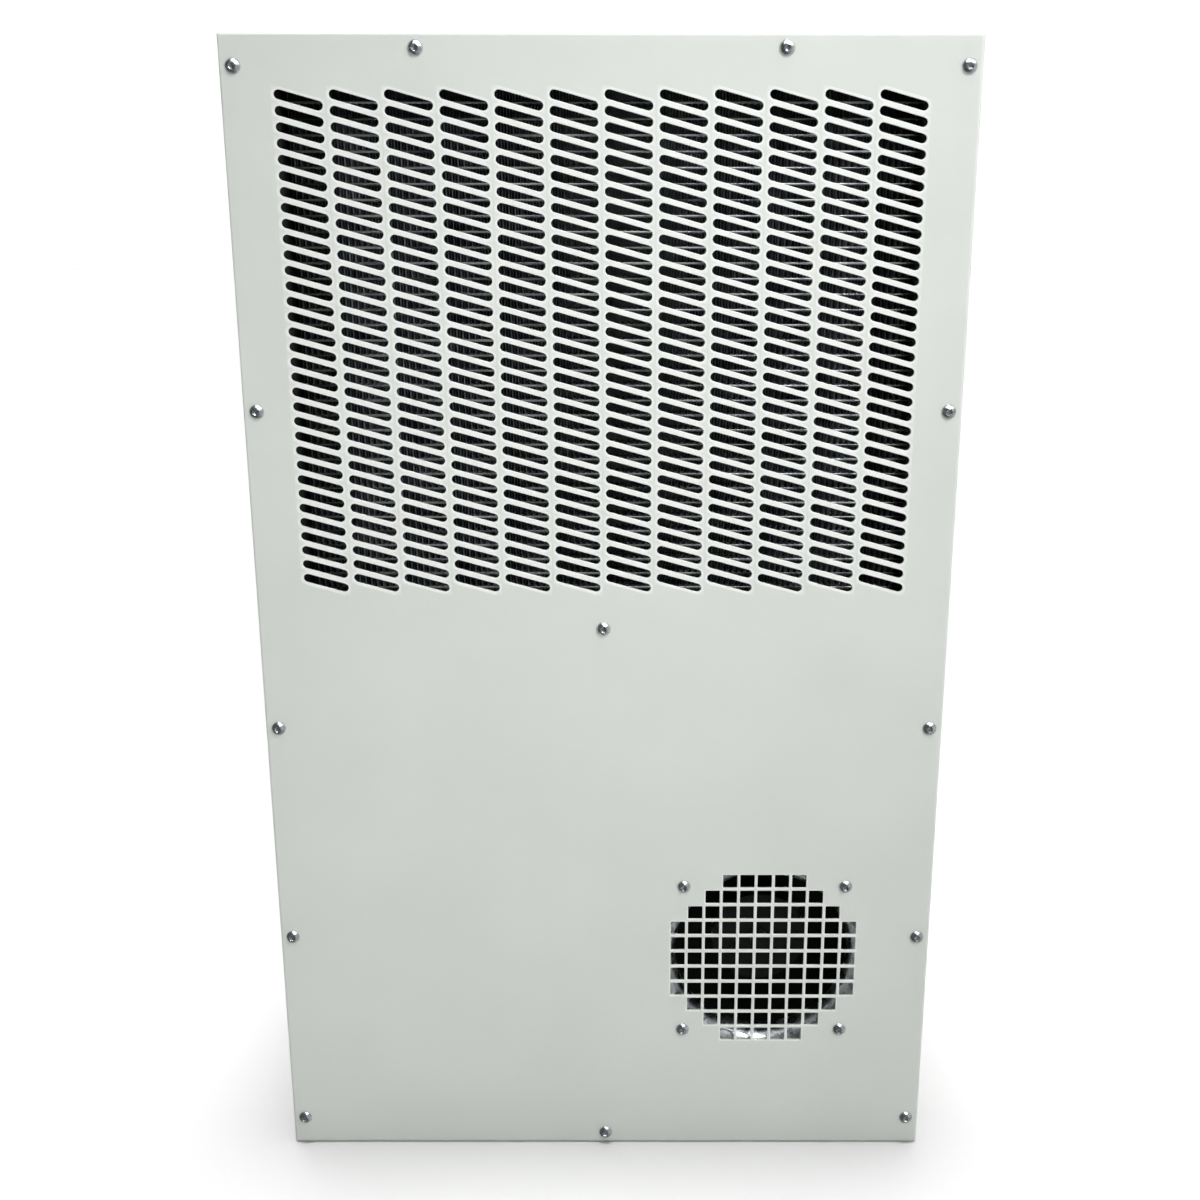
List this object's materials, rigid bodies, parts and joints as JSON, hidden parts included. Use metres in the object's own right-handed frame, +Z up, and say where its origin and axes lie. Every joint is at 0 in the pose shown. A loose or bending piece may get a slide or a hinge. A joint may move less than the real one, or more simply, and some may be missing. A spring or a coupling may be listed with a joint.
{
  "type": "cabinet air conditioner",
  "caption": "Slim upright cooling unit for an equipment cabinet, with a flat cover of slanted slots, a round fan grille and its refrigeration set inside.",
  "frame": {"origin": "middle of the footprint, on the floor plane", "axes": "+Z up, -Y towards the slotted front cover, +X to the right seen from the front"},
  "size_m": [0.446, 0.2076, 0.746],
  "materials": {
    "powder_coated_steel": "fine-textured light grey powder coat",
    "galvanised_steel": "hot-dip galvanised sheet",
    "zinc_plated_steel": "bright zinc plating",
    "foam_rubber": "closed-cell foam strip",
    "black_rubber": "moulded, matt",
    "aluminium": "brazed mill finish",
    "black_paint": "satin black paint",
    "cast_iron": "machined",
    "motor_steel": "dipped black varnish",
    "black_nylon": "moulded, fine grain",
    "copper": "drawn copper tube",
    "brass": "machined",
    "grey_plastic": "moulded",
    "board_laminate": "solder-masked laminate",
    "capacitor_can": "drawn can"
  },
  "bodies": {
    "casing": {"accumulator": "black_paint", "accumulator_strap": "galvanised_steel", "base_panel": "powder_coated_steel", "board_relays": "grey_plastic", "casing_rivets": "zinc_plated_steel", "clinch_nuts": "zinc_plated_steel", "compressor_body": "black_paint", "compressor_cap": "black_paint", "compressor_feet": "black_paint", "compressor_grommets": "black_rubber", "compressor_pump": "cast_iron", "compressor_stator": "motor_steel", "compressor_studs": "zinc_plated_steel", "compressor_terminal_cover": "black_nylon", "condenser_clamps": "galvanised_steel", "condenser_fins": "aluminium", "condenser_headers": "black_paint", "condenser_side_plates": "black_paint", "condenser_tubes": "aluminium", "control_board": "board_laminate", "control_box": "galvanised_steel", "control_box_lid": "galvanised_steel", "cover_screws": "zinc_plated_steel", "cover_seal": "foam_rubber", "cross_rail": "galvanised_steel", "discharge_pipe": "copper", "drain_outlet": "grey_plastic", "drain_pan": "grey_plastic", "evaporator_end_plates": "galvanised_steel", "evaporator_feed_pipe": "copper", "evaporator_fins": "aluminium", "evaporator_return_bends": "copper", "evaporator_tubes": "copper", "expansion_valve": "brass", "fan_bearings": "brass", "fan_brackets": "galvanised_steel", "fan_inlet_rings": "galvanised_steel", "fan_stators": "motor_steel", "filter_drier": "copper", "front_cover": "powder_coated_steel", "left_side_panel": "powder_coated_steel", "liquid_pipe": "copper", "mounting_rivet_nuts": "zinc_plated_steel", "partition": "galvanised_steel", "pipe_grommets": "black_rubber", "rear_panel": "powder_coated_steel", "rear_seal": "foam_rubber", "right_side_panel": "powder_coated_steel", "run_capacitor": "capacitor_can", "short_screws": "zinc_plated_steel", "suction_pipes": "copper", "terminal_block": "black_nylon", "terminal_screws": "brass", "top_panel": "powder_coated_steel"},
    "condenser_fan": {"condenser_fan_impeller": "black_nylon", "condenser_fan_rotor": "motor_steel"},
    "evaporator_fan": {"evaporator_fan_impeller": "black_nylon", "evaporator_fan_rotor": "motor_steel"},
    "compressor_motor": {"compressor_rotor": "motor_steel"}
  },
  "joints": [
    {"name": "condenser_fan_spin", "type": "hinge", "parent": "casing", "child": "condenser_fan", "pos_m": [0.109, -0.05, 0.147], "axis": [0, 1, 0], "continuous": true},
    {"name": "evaporator_fan_spin", "type": "hinge", "parent": "casing", "child": "evaporator_fan", "pos_m": [-0.085, 0.05, 0.56], "axis": [0, 1, 0], "continuous": true},
    {"name": "compressor_spin", "type": "hinge", "parent": "casing", "child": "compressor_motor", "pos_m": [-0.145, -0.0282, 0.1], "axis": [0, 0, 1], "continuous": true}
  ]
}
